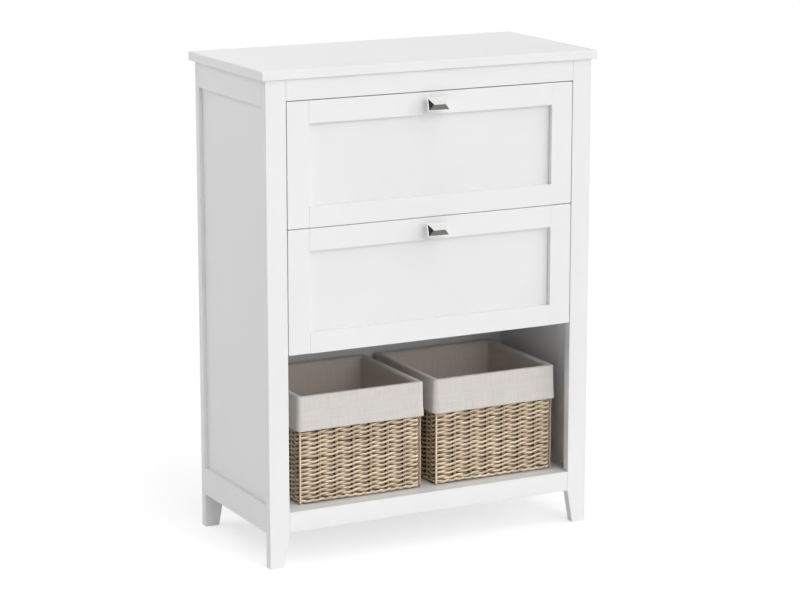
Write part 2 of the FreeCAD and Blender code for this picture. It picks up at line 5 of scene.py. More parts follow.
import bpy
import numpy as np
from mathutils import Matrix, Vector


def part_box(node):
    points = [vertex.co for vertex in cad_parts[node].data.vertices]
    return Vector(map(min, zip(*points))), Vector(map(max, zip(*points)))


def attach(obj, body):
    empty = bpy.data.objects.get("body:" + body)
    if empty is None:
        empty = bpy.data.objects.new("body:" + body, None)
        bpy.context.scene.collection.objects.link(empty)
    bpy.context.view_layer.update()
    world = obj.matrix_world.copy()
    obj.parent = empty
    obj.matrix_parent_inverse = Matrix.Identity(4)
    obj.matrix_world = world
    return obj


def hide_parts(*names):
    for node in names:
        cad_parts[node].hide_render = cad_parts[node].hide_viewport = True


# Looks for a white bathroom cabinet: painted boards with eased edges, satin metal knobs,
# two twined wicker baskets with linen liners turned over their rims, and slide screws.
# Metres. X to the right, Y to the back, Z up from the floor.

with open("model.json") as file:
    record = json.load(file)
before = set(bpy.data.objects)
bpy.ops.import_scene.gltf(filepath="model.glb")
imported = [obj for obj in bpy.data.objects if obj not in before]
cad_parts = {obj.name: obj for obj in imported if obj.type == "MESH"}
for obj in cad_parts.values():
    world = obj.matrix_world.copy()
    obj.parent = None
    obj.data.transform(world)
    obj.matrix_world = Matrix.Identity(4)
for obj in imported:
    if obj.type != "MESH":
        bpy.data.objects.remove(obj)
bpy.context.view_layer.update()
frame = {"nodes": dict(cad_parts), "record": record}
nodes = frame["nodes"]
chance = random.Random(7)
DRAWERS = ("upper", "lower")
SIDES = (("left", -1), ("right", 1))


# Node helpers

def new_material(name):
    """A material with its node tree and its main shader."""
    material = bpy.data.materials.new(name)
    material.use_nodes = True
    return material, material.node_tree, material.node_tree.nodes["Principled BSDF"]


def fill(tree, socket, content):
    """Gives a socket a link or a constant."""
    if isinstance(content, bpy.types.NodeSocket):
        tree.links.new(content, socket)
    else:
        socket.default_value = content


def add(tree, kind, inputs, output=0, **settings):
    """A shader node with its settings and inputs; returns one of its outputs."""
    node = tree.nodes.new("ShaderNode" + kind)
    for name, setting in settings.items():
        setattr(node, name, setting)
    for name, content in inputs.items():
        fill(tree, node.inputs[name], content)
    return node.outputs[output]


def places(tree, source="Object", scale=(1, 1, 1)):
    """Texture coordinates of one kind, stretched by a scale."""
    coordinates = tree.nodes.new("ShaderNodeTexCoord").outputs[source]
    return add(tree, "Mapping", {"Vector": coordinates, "Scale": scale})


def noise(tree, vector, scale, detail=3.0, roughness=0.5):
    inputs = {"Vector": vector, "Scale": scale, "Detail": detail, "Roughness": roughness}
    return add(tree, "TexNoise", inputs)


def ramp(tree, factor, stops):
    """Colours (or greys) that follow a factor; stops are pairs of position and colour."""
    node = tree.nodes.new("ShaderNodeValToRGB")
    tree.links.new(factor, node.inputs["Fac"])
    elements = node.color_ramp.elements
    while len(elements) < len(stops):
        elements.new(0.5)
    for element, (position, colour) in zip(elements, stops):
        element.position = position
        element.color = (*colour, 1) if isinstance(colour, tuple) else (colour, colour, colour, 1)
    return node.outputs["Color"]


def blended(tree, factor, first, second, mode="MIX"):
    """Two colours mixed by a factor."""
    node = tree.nodes.new("ShaderNodeMix")
    node.data_type = "RGBA"
    node.blend_type = mode
    for index, content in ((0, factor), (6, first), (7, second)):
        fill(tree, node.inputs[index], content)
    return node.outputs[2]


def arithmetic(tree, operation, first, second):
    return add(tree, "Math", {0: first, 1: second}, operation=operation)


def bump(tree, height, strength, distance, below=None):
    """Relief from a height, laid over the relief below it if there is one."""
    inputs = {"Height": height, "Strength": strength, "Distance": distance}
    if below is not None:
        inputs["Normal"] = below
    return add(tree, "Bump", inputs)


def surface(tree, shader, colour, roughness, relief):
    """Joins a colour, a roughness and a relief to a shader."""
    for name, content in (("Base Color", colour), ("Roughness", roughness), ("Normal", relief)):
        fill(tree, shader.inputs[name], content)


def carried_tone(tree, colour):
    """A colour times the tone that each point of a mesh carries."""
    tone = add(tree, "VertexColor", {}, layer_name="tone")
    return blended(tree, 1.0, colour, tone, "MULTIPLY")


# Materials

def painted(name, light, dark, peel, rough):
    """Satin paint: a faint drift of tone, a fine orange-peel relief and uneven gloss."""
    material, tree, shader = new_material(name)
    spots = places(tree)
    drift = noise(tree, spots, 5.0, 4.0)
    gloss = noise(tree, spots, 60.0, 2.0)
    surface(tree, shader,
            colour=ramp(tree, drift, ((0.3, dark), (0.7, light))),
            roughness=ramp(tree, gloss, ((0.3, rough - 0.04), (0.7, rough + 0.04))),
            relief=bump(tree, noise(tree, spots, peel, 2.0), strength=0.12, distance=0.0003))
    shader.inputs["Specular IOR Level"].default_value = 0.4
    return material


def brushed(name, light, dark, rough, stretch):
    """Metal with fine brushing along one direction."""
    material, tree, shader = new_material(name)
    shader.inputs["Metallic"].default_value = 1.0
    lines = noise(tree, places(tree, scale=stretch), 1.0, 4.0, 0.65)
    surface(tree, shader,
            colour=ramp(tree, lines, ((0.3, dark), (0.7, light))),
            roughness=ramp(tree, lines, ((0.3, rough - 0.05), (0.7, rough + 0.06))),
            relief=bump(tree, lines, strength=0.08, distance=0.0002))
    return material


def moulded(name):
    """Nylon: waxy, slightly cloudy plastic."""
    material, tree, shader = new_material(name)
    spots = places(tree)
    cloud = noise(tree, spots, 120.0, 3.0)
    surface(tree, shader,
            colour=ramp(tree, cloud, ((0.3, (0.72, 0.72, 0.69)), (0.7, (0.80, 0.80, 0.77)))),
            roughness=ramp(tree, cloud, ((0.3, 0.38), (0.7, 0.5))),
            relief=bump(tree, noise(tree, spots, 900.0, 2.0), strength=0.1, distance=0.0002))
    shader.inputs["Subsurface Weight"].default_value = 0.1
    shader.inputs["Subsurface Radius"].default_value = (0.002, 0.002, 0.0018)
    return material


def bare_wood(name):
    """Planed beech with its grain along Y and short flecks."""
    material, tree, shader = new_material(name)
    grain = noise(tree, places(tree, scale=(160, 7, 160)), 1.0, 5.0, 0.6)
    flecks = noise(tree, places(tree, scale=(900, 120, 900)), 1.0, 2.0)
    tone = ramp(tree, grain, ((0.25, (0.42, 0.27, 0.15)), (0.5, (0.55, 0.38, 0.23)),
                              (0.8, (0.64, 0.47, 0.30))))
    spotted = ramp(tree, flecks, ((0.56, 1.0), (0.66, 0.72)))
    surface(tree, shader,
            colour=blended(tree, 0.7, tone, spotted, "MULTIPLY"),
            roughness=ramp(tree, grain, ((0.3, 0.55), (0.7, 0.68))),
            relief=bump(tree, grain, strength=0.25, distance=0.0004))
    return material


def cane(name):
    """Dry twisted cane: fibres along each strand, and a tone that each strand carries."""
    material, tree, shader = new_material(name)
    fibres = noise(tree, places(tree, "UV", (90, 14, 1)), 1.0, 4.0, 0.6)
    blotches = noise(tree, places(tree, "UV", (28, 1.5, 1)), 1.0, 3.0)
    colour = ramp(tree, fibres, ((0.25, (0.43, 0.315, 0.205)), (0.5, (0.69, 0.565, 0.42)),
                                 (0.75, (0.97, 0.87, 0.71))))
    worn = ramp(tree, blotches, ((0.3, (0.82, 0.76, 0.70)), (0.7, (1.0, 1.0, 1.0))))
    surface(tree, shader,
            colour=carried_tone(tree, blended(tree, 0.8, colour, worn, "MULTIPLY")),
            roughness=ramp(tree, fibres, ((0.3, 0.62), (0.7, 0.48))),
            relief=bump(tree, fibres, strength=0.45, distance=0.0006))
    shader.inputs["Specular IOR Level"].default_value = 0.2
    return material


def woven(name, light, dark):
    """Plain linen: crossed threads with slubs, drawn on coordinates in metres of cloth."""
    material, tree, shader = new_material(name)
    wave = {"Vector": places(tree, "UV"), "Scale": 400.0, "Distortion": 1.5, "Detail Scale": 2.0}
    warp, weft = (add(tree, "TexWave", wave, 1, bands_direction=way) for way in ("X", "Y"))
    threads = arithmetic(tree, "MULTIPLY", warp, weft)
    long_slubs = noise(tree, places(tree, "UV", (22, 700, 1)), 1.0, 3.0)
    cross_slubs = noise(tree, places(tree, "UV", (700, 22, 1)), 1.0, 3.0)
    slubs = arithmetic(tree, "ADD", long_slubs, cross_slubs)
    shade = ramp(tree, slubs, ((0.72, dark), (1.0, light), (1.28, dark)))
    # The colour is darker where the crossed threads dip: painted shade in the hollows between threads.
    deep = ramp(tree, threads, ((0.0, 0.80), (0.5, 1.0)))
    crossed = bump(tree, threads, strength=0.35, distance=0.0004)
    surface(tree, shader,
            colour=carried_tone(tree, blended(tree, 0.2, shade, deep, "MULTIPLY")),
            roughness=ramp(tree, slubs, ((0.7, 0.86), (1.3, 0.94))),
            relief=bump(tree, slubs, strength=0.25, distance=0.0005, below=crossed))
    shader.inputs["Sheen Weight"].default_value = 0.15
    shader.inputs["Sheen Roughness"].default_value = 0.5
    shader.inputs["Specular IOR Level"].default_value = 0.25
    return material


looks = {
    "white_board": painted("satin_white_paint", (0.86, 0.86, 0.862), (0.835, 0.835, 0.838),
                           peel=700.0, rough=0.38),
    "white_hardboard": painted("white_faced_hardboard", (0.84, 0.84, 0.84), (0.80, 0.80, 0.80),
                               peel=450.0, rough=0.46),
    "nickel": brushed("satin_nickel", (0.86, 0.855, 0.83), (0.76, 0.755, 0.735),
                      rough=0.17, stretch=(2500, 90, 2500)),
    "slide_steel": painted("white_powder_coat", (0.80, 0.80, 0.79), (0.75, 0.75, 0.745),
                           peel=1400.0, rough=0.34),
    "nylon": moulded("cloudy_nylon"),
    "zinc": brushed("bright_zinc", (0.66, 0.67, 0.68), (0.50, 0.51, 0.53),
                    rough=0.3, stretch=(1200, 1200, 1200)),
    "beech": bare_wood("planed_beech"),
    "wicker": cane("twined_cane"),
    "linen": woven("plain_linen", (0.745, 0.715, 0.69), (0.665, 0.63, 0.60)),
}


# Dressing of the carried-over pieces

WELD_DISTANCE = 0.00001
EASED_FROM = math.radians(22)
EASED_SEGMENTS = 2
EASED = {"white_board": 0.0011, "white_hardboard": 0.0003, "nickel": 0.0005, "slide_steel": 0.0003,
         "nylon": 0.0004, "zinc": 0.0003, "beech": 0.0006}
FRAME_EASED = 0.0016
DRILLED = ("rear_upper_rail", "back_panel")


def dress(node, slot):
    node.data.materials.clear()
    node.data.materials.append(looks[slot])


def soften(node, width):
    """Eases the hard edges a little, as sanded and painted boards have them."""
    weld = node.modifiers.new("weld", "WELD")
    weld.merge_threshold = WELD_DISTANCE
    bevel = node.modifiers.new("eased_edges", "BEVEL")
    bevel.width = width
    bevel.segments = EASED_SEGMENTS
    bevel.limit_method = "ANGLE"
    bevel.angle_limit = EASED_FROM
    node.modifiers.new("even_shading", "WEIGHTED_NORMAL")


for part in frame["record"]["subparts"]:
    slot = part["material_slot"]
    dress(nodes[part["node"]], slot)
    if part["node"] in DRILLED:
        continue
    if "_front_" in part["node"]:
        soften(nodes[part["node"]], FRAME_EASED)
    elif slot in EASED:
        soften(nodes[part["node"]], EASED[slot])


# Mesh helpers

def new_object(name, content):
    """An object of the scene that holds a mesh, a lamp or a camera."""
    holder = bpy.data.objects.new(name, content)
    bpy.context.scene.collection.objects.link(holder)
    return holder


def new_piece(name, points, faces, slot, body, uvs=None, tones=None):
    """A smooth mesh piece that rides on a body; uvs are per face corner and tones per point."""
    mesh = bpy.data.meshes.new(name)
    mesh.from_pydata(points, [], faces)
    mesh.shade_smooth()
    if uvs is not None:
        layer = mesh.uv_layers.new(name="strand")
        layer.data.foreach_set("uv", uvs.astype(np.float32).ravel())
    if tones is not None:
        colours = mesh.color_attributes.new("tone", "FLOAT_COLOR", "POINT")
        colours.data.foreach_set("color", tones.astype(np.float32).ravel())
    mesh.materials.append(looks[slot])
    piece = new_object(name, mesh)
    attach(piece, body)
    return piece


def walked(line):
    """The way walked from a line's first point to each of its points, and then back to the first."""
    steps = np.linalg.norm(np.diff(line, axis=0, append=line[:1]), axis=1)
    return np.concatenate([[0], np.cumsum(steps)])


def strip_uvs(start, end, low, high):
    """Coordinates of the four corners of each face in a strip that lies between two heights."""
    low, high = (np.full(len(start), height) for height in (low, high))
    corners = ((start, low), (end, low), (end, high), (start, high))
    return np.stack([np.stack(corner, axis=1) for corner in corners], axis=1)


def raised(flat, height):
    """Points seen from above, lifted to a height."""
    heights = np.broadcast_to(np.asarray(height, float), len(flat))
    return np.concatenate([flat, heights[:, None]], axis=1)


def level(outward):
    """Directions seen from above as level directions in space."""
    return np.concatenate([outward, np.zeros((len(outward), 1))], axis=1)


def upright(count):
    return np.broadcast_to(np.array([0.0, 0.0, 1.0]), (count, 3))


def smooth(value):
    """An even rise from 0 to 1, flat at both ends."""
    value = np.clip(value, 0, 1)
    return value * value * (3 - 2 * value)


# Each tube's colour is lighter on its upper side and darker on its lower side: painted top light and
# painted shade.
PAINTED_TOP_LIGHT = 0.44
FIBRE_SHIFT = 0.0137
DARK_WARMTH = np.array([1.0, 0.985, 0.95])


class Strands:
    """Collects tubes of elliptic section into one mesh."""

    def __init__(self):
        self.points, self.faces, self.uvs, self.tones = [], [], [], []
        self.count = 0

    def tube(self, line, out, up, thick, high, tone, sides=6, closed=False):
        """Adds a tube along a line of points; out and up are the section's two directions."""
        line, out, up = (np.asarray(rows, float) for rows in (line, out, up))
        length = len(line)
        turn = np.linspace(0, 2 * math.pi, sides, endpoint=False) + math.pi
        half_thick, half_high = (np.broadcast_to(size, length)[:, None, None] for size in (thick, high))
        ring = (np.cos(turn)[None, :, None] * out[:, None, :] * half_thick
                + np.sin(turn)[None, :, None] * up[:, None, :] * half_high)
        self.points.append((line[:, None, :] + ring).reshape(-1, 3))
        rows = length if closed else length - 1
        here = np.arange(rows)
        there = (here + 1) % length
        shift = self.count * FIBRE_SHIFT
        along = walked(line) + shift
        order = 1 if np.dot(np.cross(out[0], up[0]), line[1] - line[0]) < 0 else -1
        for side in range(sides):
            other = (side + 1) % sides
            corners = np.stack([here * sides + side, there * sides + side,
                                there * sides + other, here * sides + other], axis=1)
            spots = strip_uvs(along[here], along[here + 1], side / sides, (side + 1) / sides)
            self.faces.append(corners[:, ::order] + self.count)
            self.uvs.append(spots[:, ::order])
        if not closed:
            cap = np.array([[0, corner, corner + 1, corner + 2] for corner in range(1, sides - 1, 2)])
            self.faces.append(cap[:, ::order] + self.count)
            self.faces.append(cap[:, ::-order] + self.count + (length - 1) * sides)
            self.uvs.append(np.full((2 * len(cap), 4, 2), shift))
        shade = np.broadcast_to(np.asarray(tone, float).reshape(-1, 1), (length, 3))
        warmth = DARK_WARMTH ** (2 * (1 - shade))
        colours = np.concatenate([shade * warmth, np.ones((length, 1))], axis=1)
        # Painted top light: the upper side of each tube is lighter and its lower side darker, as light
        # from above would make it.
        painted_top_light = np.tile(1 + PAINTED_TOP_LIGHT * np.sin(turn), length)[:, None]
        self.tones.append(np.repeat(colours, sides, axis=0) * painted_top_light)
        self.count += length * sides

    def piece(self, name, slot, body):
        """The collected tubes as one piece."""
        return new_piece(name, np.concatenate(self.points).tolist(), np.concatenate(self.faces).tolist(),
                         slot, body, np.concatenate(self.uvs).reshape(-1, 2), np.concatenate(self.tones))


# Basket outline

CORNER_RADIUS = 0.005
TIGHTEST_CORNER = 0.003
BEND_STEPS, RUN_STEPS = 4, 56


class Outline:
    """The basket's outline seen from above, from corner post to corner post."""

    def __init__(self, low, high):
        self.centre = np.array([(low[0] + high[0]) / 2, (low[1] + high[1]) / 2])
        self.half = np.array([(high[0] - low[0]) / 2, (high[1] - low[1]) / 2])

    def corner(self, offset):
        """The radius of a corner at an offset from the wall's outer face."""
        return max(CORNER_RADIUS + offset, TIGHTEST_CORNER)

    def side(self, index, offset, share):
        """Points and outward directions along one side at an offset from the wall's outer face.

        share runs from 0 at one corner post to 1 at the next; sides run front, right, back, left.
        """
        radius = self.corner(offset)
        half = self.half + offset
        run, deep = (half[0], half[1]) if index % 2 == 0 else (half[1], half[0])
        straight = 2 * (run - radius)
        arc = radius * math.pi / 4
        way = np.asarray(share) * (straight + 2 * arc)
        first = np.clip(way, 0, arc)
        middle = np.clip(way - arc, 0, straight)
        last = np.clip(way - arc - straight, 0, arc)
        angle = -math.pi / 4 + first / radius + last / radius
        x = middle - straight / 2 + radius * np.sin(angle)
        y = -(deep - radius) - radius * np.cos(angle)
        turn = index * math.pi / 2
        spin = np.array([[math.cos(turn), -math.sin(turn)], [math.sin(turn), math.cos(turn)]])
        flat = np.stack([x, y], axis=1) @ spin.T + self.centre
        outward = np.stack([np.sin(angle), -np.cos(angle)], axis=1) @ spin.T
        return flat, outward

    def loop(self, offset, run_steps=RUN_STEPS):
        """A closed loop round the basket: its points and outward directions, closer at the corners."""
        parts = []
        arc = self.corner(offset) * math.pi / 4
        for index in range(4):
            whole = 2 * (self.half[index % 2] + offset - self.corner(offset)) + 2 * arc
            bend = arc / whole
            share = np.concatenate([np.linspace(0, bend, BEND_STEPS, endpoint=False),
                                    np.linspace(bend, 1 - bend, run_steps, endpoint=False),
                                    np.linspace(1 - bend, 1, BEND_STEPS, endpoint=False)])
            parts.append(self.side(index, offset, share))
        flat, outward = (np.concatenate(rows) for rows in zip(*parts))
        return flat, outward


# Basket weave

WALL = 0.008
# Bays between the stakes: those of the front and back, then those of the sides.
BAYS = (7, 6)
BAY_SAMPLES = 10
WEAVE_DEPTH = 0.0034
STRAND_THICK, STRAND_SWING = 0.0017, 0.0016
ROW_HIGH, ROW_LIFT, ROW_PITCH, ROW_WANDER = 0.0018, 0.0017, 0.0075, 0.0003
FIRST_ROW_GAP, LAST_ROW_GAP = 0.0027, 0.011
BORDER_HIGH, BORDER_LIFT, BORDER_MIDDLE, BORDER_CROSSINGS = 0.0021, 0.0006, 0.0043, 2
CORNER_LIFT = 0.0013
POST_COVER, POST_FADE = 0.001, 0.007
DRIFT, DRIFT_RATE = 0.0004, 5
RIPPLE, RIPPLE_RATE = 0.0003, 13
CROSSING = 0.62
BAY_TONES, STRAND_TONES = (0.84, 1.12), (0.9, 1.06)
# Strands are darker where they turn inward behind the stakes and lighter at their outer crests: painted
# shade in the weave's recesses.
RECESS_SHADE_TONE, CREST_GAIN = 0.30, 0.80
RECESS_FROM, RECESS_RANGE = 0.7, 0.9
CROSSED_HIGH, PARTED_GAIN = 0.82, 0.38
SWELL, SWELL_RATE = 0.08, 0.37


def twined_row(strands, outline, height, high, lift, crossings=1):
    """Two strands that cross between the stakes and pass behind the corner posts."""
    lines = []
    phase = 0.0
    wander = [chance.uniform(0, 2 * math.pi) for _ in range(3)]
    for index in range(4):
        bays = BAYS[index % 2] * crossings
        share = np.arange(bays * BAY_SAMPLES) / (bays * BAY_SAMPLES)
        middle, outward = outline.side(index, -WEAVE_DEPTH, share)
        near_post = np.minimum(share, 1 - share) * 2 * outline.half[index % 2]
        exposed = smooth((near_post - POST_COVER) / POST_FADE)
        turn = math.pi * (phase + share * bays)
        phase += bays
        drift = (DRIFT * np.sin(share * DRIFT_RATE + wander[0] + index)
                 + RIPPLE * np.sin(share * RIPPLE_RATE + wander[1]))
        lines.append((middle, outward, turn, exposed, drift))
    middle, outward, turn, exposed, drift = (np.concatenate(rows) for rows in zip(*lines))
    for start, place in ((0.0, 1), (math.pi, -1)):
        facing = np.cos(turn + start)
        rising = np.sin(turn + start)
        swung = STRAND_SWING * (facing * exposed - (1 - exposed))
        flat = middle + outward * swung[:, None]
        parted = smooth(np.abs(rising) / CROSSING)
        crossing_lift = lift * np.sign(rising) * parted * exposed
        post_lift = CORNER_LIFT * place * (1 - exposed)
        z = height + drift + crossing_lift + post_lift
        bay = np.floor((turn + start) / math.pi + 0.5).astype(int)
        tones = np.array([chance.uniform(*BAY_TONES) for _ in range(bay.max() + 2)])
        # Painted shade: darker as the strand turns into the wall, lighter at its crest.
        painted_recess_shade = RECESS_SHADE_TONE + CREST_GAIN * smooth((facing * exposed + RECESS_FROM) / RECESS_RANGE)
        strand_tone = chance.uniform(*STRAND_TONES) * tones[bay] * painted_recess_shade
        fat = (CROSSED_HIGH + PARTED_GAIN * parted) * (1 + SWELL * np.sin(turn * SWELL_RATE + wander[2]))
        strands.tube(raised(flat, z), level(outward), upright(len(flat)), STRAND_THICK, high * fat,
                     strand_tone, closed=True)


STAKE_HALF, STAKE_END_GAP, STAKE_TONES = 0.0008, 0.002, (1.0, 1.15)
STAKES_BESIDE = (0.0020, 0.0046)


def stakes_of_side(strands, outline, index, base, rim):
    """Pairs of thin upright stakes between the bays of one side."""
    bays = BAYS[index % 2]
    places_along, outward = outline.side(index, -WEAVE_DEPTH, np.arange(1, bays) / bays)
    for point, out in zip(places_along, outward):
        flat_out = np.array([[out[0], out[1], 0.0]] * 2)
        along = np.array([[-out[1], out[0], 0.0]] * 2)
        for beside in STAKES_BESIDE:
            foot = np.array([point[0], point[1], 0.0]) + along[0] * beside
            line = np.array([foot + (0, 0, base + STAKE_END_GAP), foot + (0, 0, rim - STAKE_END_GAP)])
            strands.tube(line, flat_out, along, STAKE_HALF, STAKE_HALF, chance.uniform(*STAKE_TONES))


POST_DEPTH, POST_HALF, POST_POINTS, POST_SIDES = 0.0024, 0.0019, 24, 8
POST_FOOT_GAP, POST_TOP_GAP = 0.001, 0.002
POST_SWAY, POST_SWAY_RATE = 0.0002, 90
POST_TONE_DRIFT, POST_TONE_RATE = 0.05, 140


def corner_post(strands, outline, index, base, rim):
    """The round post at the corner where one side begins."""
    post, out = outline.side(index, -POST_DEPTH, np.array([0.0]))
    heights = np.linspace(base + POST_FOOT_GAP, rim - POST_TOP_GAP, POST_POINTS)
    sway = POST_SWAY * np.sin(heights * POST_SWAY_RATE + index)
    line = raised(np.repeat(post, POST_POINTS, axis=0) + out * sway[:, None], heights)
    outs = np.repeat(level(out), POST_POINTS, axis=0)
    along = np.stack([-outs[:, 1], outs[:, 0], outs[:, 2]], axis=1)
    tone = 1.0 + POST_TONE_DRIFT * np.sin(heights * POST_TONE_RATE + index)
    strands.tube(line, outs, along, POST_HALF, POST_HALF, tone, sides=POST_SIDES)


# A dark band behind each row stands in for the shade inside the wall: painted shade.
SHADE_BAND_GAP, SHADE_BAND_THICK, SHADE_BAND_HIGH, SHADE_BAND_TONE = 0.0006, 0.0004, 0.0037, 0.06
SHADE_BAND_RUN_STEPS = 2


def painted_shade_band(strands, outline, height):
    """A nearly black band behind a row of strands that closes the wall: painted shade seen through the
    gaps of the weave.
    """
    shade_band, outward = outline.loop(-WALL + SHADE_BAND_GAP, SHADE_BAND_RUN_STEPS)
    strands.tube(raised(shade_band, height), level(outward), upright(len(shade_band)),
                 SHADE_BAND_THICK, SHADE_BAND_HIGH, SHADE_BAND_TONE, closed=True)


PLAIT_STEP, PLAIT_POINTS, PLAIT_MIDDLE, PLAIT_WAVE = 0.009, 40, 0.003, 0.0009
PLAIT_WIDE, PLAIT_THICK, PLAIT_TONES = 0.0036, 0.0011, (0.8, 1.05)


def plaited_floor(strands, outline, base):
    """Flat strips that cross over and under each other as the basket's floor."""
    for across in (0, 1):
        reach = outline.half[across] - WALL
        width = outline.half[1 - across] - WALL
        walk = np.linspace(-reach, reach, PLAIT_POINTS)
        beside = np.zeros((PLAIT_POINTS, 3))
        beside[:, 1 - across] = 1
        for place in np.arange(-width + PLAIT_STEP / 2, width, PLAIT_STEP):
            flat = np.zeros((PLAIT_POINTS, 2))
            flat[:, across] = walk
            flat[:, 1 - across] = place
            over_under = PLAIT_WAVE * np.cos(math.pi * (walk / PLAIT_STEP + place / PLAIT_STEP + across))
            strands.tube(raised(flat + outline.centre, base + PLAIT_MIDDLE + over_under), beside,
                         upright(PLAIT_POINTS), PLAIT_WIDE, PLAIT_THICK, chance.uniform(*PLAIT_TONES))


def make_weave(side):
    """Stakes, corner posts, a corded border, twined rows with a band of painted shade behind them, and a
    plaited floor.
    """
    low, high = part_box(f"{side}_basket_weave")
    outline = Outline(low, high)
    strands = Strands()
    base, rim = low[2], high[2]
    for index in range(4):
        stakes_of_side(strands, outline, index, base, rim)
        corner_post(strands, outline, index, base, rim)
    twined_row(strands, outline, base + BORDER_MIDDLE, BORDER_HIGH, BORDER_LIFT, BORDER_CROSSINGS)
    first = base + 2 * BORDER_MIDDLE + FIRST_ROW_GAP
    rows = int((rim - LAST_ROW_GAP - first) / ROW_PITCH)
    for row in range(rows + 1):
        height = first + row * ROW_PITCH + chance.uniform(-ROW_WANDER, ROW_WANDER)
        twined_row(strands, outline, height, ROW_HIGH, ROW_LIFT)
        painted_shade_band(strands, outline, height)
    plaited_floor(strands, outline, base)
    piece = strands.piece(f"{side}_basket_strands", "wicker", f"{side}_basket")
    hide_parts(f"{side}_basket_weave")


# Basket liners

CLOTH = 0.0014
LINER_GAP = 0.0003
CLOTH_MIDDLE = LINER_GAP + CLOTH / 2
BASKET_FLOOR = 0.006
HEM, CUFF = 0.012, 0.057
# Cloth inside the basket is tinted warmer and a touch brighter: painted warm bounce light in the shaded
# inside.
INSIDE_WARM_BOUNCE, CUFF_TONE = (1.06, 0.99, 0.93, 1.0), (1.0, 1.0, 1.0, 1.0)
RIM_ROUND, RIM_FLAT, RIM_DROP = 0.0018, 0.0030, 0.0034
BOTTOM_ROWS, LINING_ROWS, RIM_ROWS, FOLD_ROWS, CUFF_ROWS = 12, 18, 8, 6, 26
LINING_START = 0.004
CUFF_FLARE, HEM_STEP, HEM_BLEND = 0.0012, 0.0007, 0.0015
CUFF_HELD, CUFF_FREE = 0.35, 0.65
LOOSE_RISE, LOOSE_TURN = 1.2, 0.8 * math.pi


def liner_profile(floor, rim):
    """Rows of the liner from its bottom edge inside, over the rim, to the hem outside.

    Each row holds the offset from the wall's outer face, the height and how freely the cloth moves,
    which is below zero where it leans into the basket.
    """
    inner, outer, top = -WALL - CLOTH_MIDDLE, CLOTH_MIDDLE, rim + CLOTH_MIDDLE
    rows = []
    foot = floor + LINING_START
    for share in np.linspace(0, 1, LINING_ROWS):
        rows.append((inner, foot + share * (top - RIM_DROP - foot), -math.sin(math.pi * share)))
    slope = outer - RIM_ROUND - RIM_FLAT - inner
    for angle in np.linspace(0, math.pi / 2, RIM_ROWS)[1:]:
        offset = inner + slope * (1 - math.cos(angle))
        rows.append((offset, top - RIM_DROP * (1 - math.sin(angle)), 0.0))
    for angle in np.linspace(math.pi / 2, 0, FOLD_ROWS):
        offset = outer - RIM_ROUND * (1 - math.cos(angle))
        rows.append((offset, top - RIM_ROUND * (1 - math.sin(angle)), 0.0))
    start = top - RIM_ROUND
    end = top + CLOTH / 2 - CUFF
    for share in np.linspace(0, 1, CUFF_ROWS)[1:]:
        z = start + share * (end - start)
        doubled = HEM_STEP * float(smooth((end + HEM - z) / HEM_BLEND))
        freedom = CUFF_HELD + CUFF_FREE * math.sin(LOOSE_TURN * min(LOOSE_RISE * share, 1))
        rows.append((outer + CUFF_FLARE * share ** 2 + doubled, z, freedom))
    return rows


WAVE_COUNT = 9
WAVE_RATES, WAVE_SLOPES, WAVE_HEIGHTS, WAVE_PHASES = (20, 130), (-40, 40), (0.0001, 0.0003), (0, 6.3)
BOTTOM_HOLE, BOTTOM_MARGIN = 0.001, 0.006
BOTTOM_LIFT, BOTTOM_WAVE, BOTTOM_RATES = 0.0014, 0.0012, (40, 47)
LEAN, LEAN_GAIN = 0.0018, 1.6
CUFF_EASE, CUFF_GAIN = 0.0004, 0.9
SAG, SAG_RATE, SAG_START = 0.0006, 17, 0.03


def cloth_waves(walk, height, waves):
    """Soft undulation of loose cloth along the wall, in metres."""
    total = np.zeros(len(walk))
    for rate, slope, strength, phase in waves:
        total += strength * np.sin(walk * rate + height * slope + phase)
    return total


def liner_rows(outline, floor, rim, walk, waves):
    """Rows of points from the middle of the floor to the hem, and the tone of each row."""
    rows, tones = [], []
    bottom_phase, sag_phase = waves[0][3], waves[1][3]
    for depth in np.linspace(outline.half[1] - BOTTOM_HOLE, WALL + BOTTOM_MARGIN, BOTTOM_ROWS):
        flat = outline.loop(-depth)[0]
        soft = BOTTOM_WAVE * (np.sin(flat[:, 0] * BOTTOM_RATES[0] + 1)
                              * np.sin(flat[:, 1] * BOTTOM_RATES[1] + bottom_phase))
        rows.append(raised(flat, floor + BOTTOM_LIFT + soft))
        tones.append(INSIDE_WARM_BOUNCE)
    for offset, height, freedom in liner_profile(floor, rim):
        flat, outward = outline.loop(offset)
        wave = cloth_waves(walk, height, waves)
        if freedom < 0:
            push = freedom * (LEAN + LEAN_GAIN * np.abs(wave))
        else:
            push = freedom * (CUFF_EASE + CUFF_GAIN * wave.clip(-CUFF_EASE, None))
        sagging = smooth((rim - SAG_START - height) / SAG_START) * (freedom > 0)
        sag = SAG * np.sin(walk * SAG_RATE + sag_phase) * sagging
        rows.append(raised(flat + outward * push[:, None], height + sag))
        tones.append(INSIDE_WARM_BOUNCE if freedom < 0 else CUFF_TONE)
    return rows, tones


